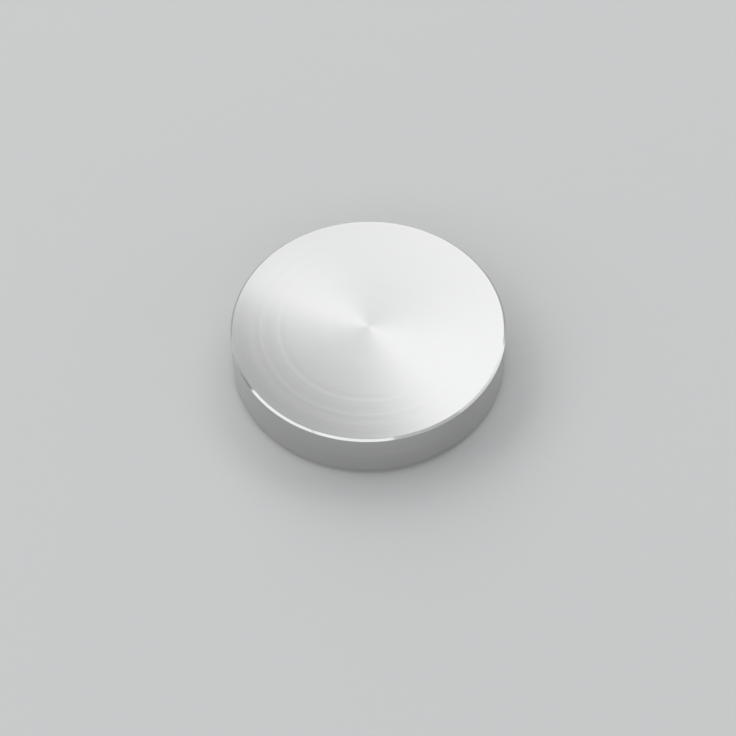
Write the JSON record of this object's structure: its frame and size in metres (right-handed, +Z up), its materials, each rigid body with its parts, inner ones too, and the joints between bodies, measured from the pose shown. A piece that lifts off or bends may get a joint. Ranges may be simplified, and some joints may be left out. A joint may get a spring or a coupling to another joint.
{
  "type": "record weight",
  "caption": "Low round turned metal puck with a closed top, a stepped-in foot and a blind socket below for the spindle; its weight presses a record flat on a turntable.",
  "frame": {"origin": "middle of the plane that the puck stands on, on its turning axis", "axes": "+Z up along the turning axis, through the closed top; X and Y are free, because the puck is round"},
  "size_m": [0.078, 0.078, 0.0165],
  "materials": {
    "turned_steel": "bare steel, faced and turned on a lathe, with fine concentric tool marks on the top and fine marks round the wall"
  },
  "bodies": {
    "root": {"weight_body": "turned_steel"}
  },
  "joints": []
}
